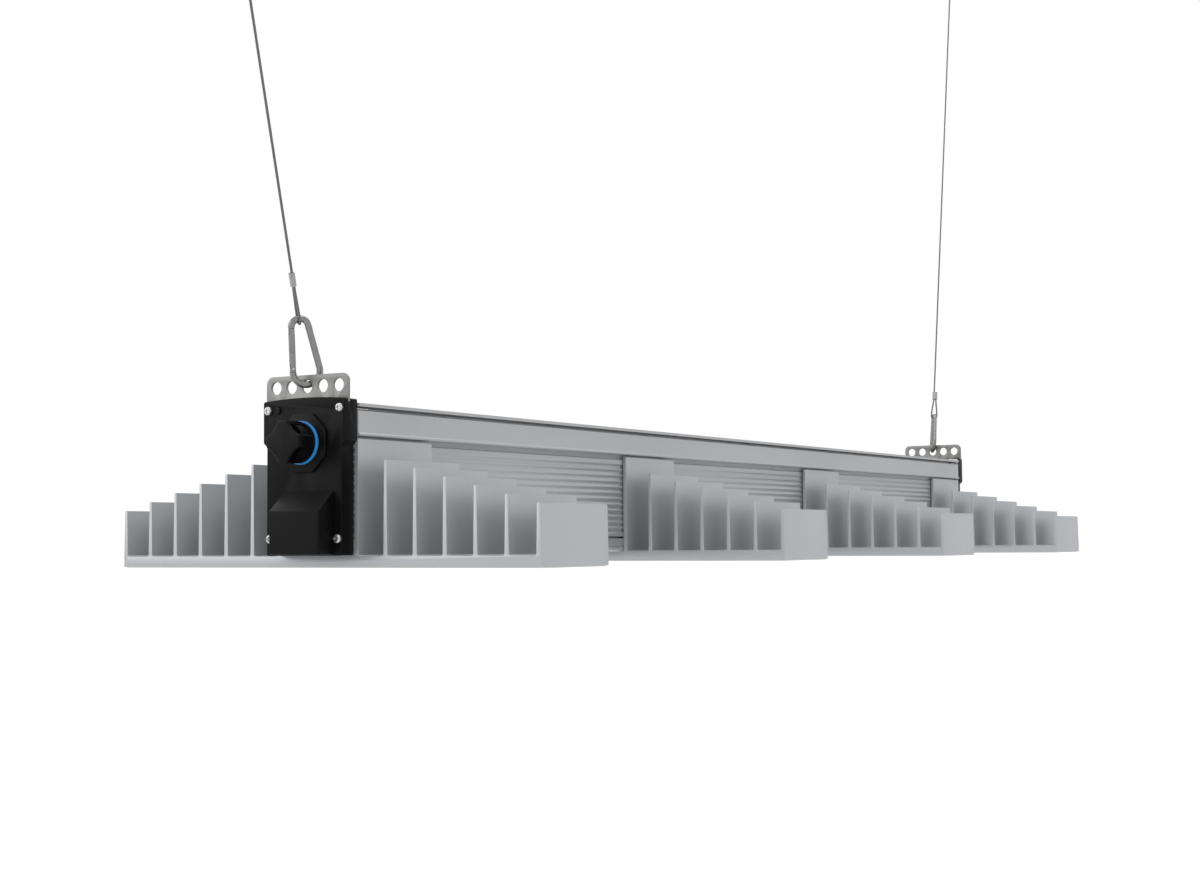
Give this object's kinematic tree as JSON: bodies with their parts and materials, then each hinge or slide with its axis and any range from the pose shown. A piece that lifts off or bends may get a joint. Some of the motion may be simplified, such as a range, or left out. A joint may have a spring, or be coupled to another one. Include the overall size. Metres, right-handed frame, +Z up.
{
  "type": "led grow light",
  "caption": "Linear LED grow light: ribbed aluminium beam over cross-wise finned light modules, hung on two wire ropes with snap hooks.",
  "frame": {"origin": "midway between the two hanger plates, level with the centres of their holes", "axes": "+X along the beam, from the socket end to the blank end; +Z up; +Y across the beam"},
  "size_m": [1.3429, 0.2986, 0.6841],
  "materials": {
    "heat_sink_aluminium": "satin",
    "beam_aluminium": "satin",
    "light_cover": "satin",
    "seal_rubber": "matte",
    "circuit_board": "satin",
    "led": "gloss",
    "black_plastic": "satin",
    "blue_rubber": "matte",
    "painted_steel": "satin",
    "brass": "polished",
    "driver_case": "satin",
    "components": "satin",
    "wire_insulation": "satin",
    "rope_steel": "satin",
    "ferrule_aluminium": "satin",
    "fastener_steel": "polished"
  },
  "bodies": {
    "lamp": {"beam": "beam_aluminium", "cable_hood": "black_plastic", "driver_board": "circuit_board", "driver_components": "components", "driver_cover": "driver_case", "driver_mounts": "driver_case", "driver_tray": "driver_case", "end_cap_far": "black_plastic", "end_cap_near": "black_plastic", "end_cap_screws": "fastener_steel", "end_gaskets": "seal_rubber", "hanger_plate_far": "painted_steel", "hanger_plate_near": "painted_steel", "hanger_screws": "fastener_steel", "hanger_spacers": "fastener_steel", "heat_sink_1": "heat_sink_aluminium", "heat_sink_2": "heat_sink_aluminium", "heat_sink_3": "heat_sink_aluminium", "heat_sink_4": "heat_sink_aluminium", "heat_sink_screws": "fastener_steel", "lead_sleeves": "black_plastic", "led_boards": "circuit_board", "led_chips": "led", "light_cover_1": "light_cover", "light_cover_2": "light_cover", "light_cover_3": "light_cover", "light_cover_4": "light_cover", "light_cover_gaskets": "seal_rubber", "light_cover_screws": "fastener_steel", "module_leads": "wire_insulation", "socket_body": "black_plastic", "socket_nut": "black_plastic", "socket_pins": "brass", "supply_wires": "wire_insulation", "terminal_block": "black_plastic", "vent_plug": "black_plastic", "wiring_strip": "wire_insulation"},
    "lower_hook_near": {"lower_hook_near": "fastener_steel", "lower_gate_pin_near": "fastener_steel"},
    "lower_gate_near": {"lower_gate_near": "fastener_steel", "lower_gate_spring_near": "fastener_steel"},
    "upper_hook_near": {"upper_hook_near": "fastener_steel", "upper_gate_pin_near": "fastener_steel"},
    "upper_gate_near": {"upper_gate_near": "fastener_steel", "upper_gate_spring_near": "fastener_steel"},
    "rope_near": {"rope_near": "rope_steel", "rope_ferrules_near": "ferrule_aluminium"},
    "lower_hook_far": {"lower_hook_far": "fastener_steel", "lower_gate_pin_far": "fastener_steel"},
    "lower_gate_far": {"lower_gate_far": "fastener_steel", "lower_gate_spring_far": "fastener_steel"},
    "upper_hook_far": {"upper_hook_far": "fastener_steel", "upper_gate_pin_far": "fastener_steel"},
    "upper_gate_far": {"upper_gate_far": "fastener_steel", "upper_gate_spring_far": "fastener_steel"},
    "rope_far": {"rope_far": "rope_steel", "rope_ferrules_far": "ferrule_aluminium"},
    "socket_seal_ring": {"socket_seal_ring": "blue_rubber"},
    "socket_screw_cap": {"socket_screw_cap": "black_plastic"}
  },
  "joints": [
    {"name": "lower_hook_near_swing", "type": "hinge", "parent": "lamp", "child": "lower_hook_near", "pos_m": [-0.48839, -0.00044, 0.00854], "axis": [0.5592, 0.7987, 0.2221], "range_deg": [0, 25]},
    {"name": "rope_near_swing", "type": "hinge", "parent": "lower_hook_near", "child": "rope_near", "pos_m": [-0.49732, -0.00214, 0.03713], "axis": [-0.7738, 0.5991, -0.2059], "range_deg": [0, 60]},
    {"name": "upper_hook_near_swing", "type": "hinge", "parent": "rope_near", "child": "upper_hook_near", "pos_m": [-0.65412, -0.03202, 0.53937], "axis": [-0.7738, 0.5991, -0.2059], "range_deg": [0, 60]},
    {"name": "lower_gate_near_open", "type": "hinge", "parent": "lower_hook_near", "child": "lower_gate_near", "pos_m": [-0.49499, 0.00384, 0.00975], "axis": [0.5592, 0.7987, 0.2221], "range_deg": [0, 11], "stiffness_Nm_per_rad": 0.004, "springref_deg": -11.46},
    {"name": "upper_gate_near_open", "type": "hinge", "parent": "upper_hook_near", "child": "upper_gate_near", "pos_m": [-0.65645, -0.038, 0.56675], "axis": [0.5592, 0.7987, 0.2221], "range_deg": [0, 11], "stiffness_Nm_per_rad": 0.004, "springref_deg": -11.46},
    {"name": "lower_hook_far_swing", "type": "hinge", "parent": "lamp", "child": "lower_hook_far", "pos_m": [0.48839, 0.00044, 0.00854], "axis": [0.512, -0.852, -0.1091], "range_deg": [0, 25]},
    {"name": "rope_far_swing", "type": "hinge", "parent": "lower_hook_far", "child": "rope_far", "pos_m": [0.49732, 0.00214, 0.03713], "axis": [0.8058, 0.5204, -0.2825], "range_deg": [0, 60]},
    {"name": "upper_hook_far_swing", "type": "hinge", "parent": "rope_far", "child": "upper_hook_far", "pos_m": [0.65412, 0.03202, 0.53937], "axis": [0.8058, 0.5204, -0.2825], "range_deg": [0, 60]},
    {"name": "lower_gate_far_open", "type": "hinge", "parent": "lower_hook_far", "child": "lower_gate_far", "pos_m": [0.49522, 0.00446, 0.00918], "axis": [0.512, -0.852, -0.1091], "range_deg": [0, 11], "stiffness_Nm_per_rad": 0.004, "springref_deg": -11.46},
    {"name": "upper_gate_far_open", "type": "hinge", "parent": "upper_hook_far", "child": "upper_gate_far", "pos_m": [0.65621, 0.0297, 0.56732], "axis": [0.512, -0.852, -0.1091], "range_deg": [0, 11], "stiffness_Nm_per_rad": 0.004, "springref_deg": -11.46},
    {"name": "socket_cap_slide", "type": "slide", "parent": "lamp", "child": "socket_seal_ring", "axis": [-1, 0, 0], "range_m": [0, 0.012]},
    {"name": "socket_cap_turn", "type": "hinge", "parent": "socket_seal_ring", "child": "socket_screw_cap", "pos_m": [-0.5, 0, -0.0318], "axis": [-1, 0, 0], "range_deg": [0, 1080]}
  ],
  "couplings": [
    {"joint": "socket_cap_turn", "follows": "socket_cap_slide", "rad_per_m": 1570.8}
  ]
}
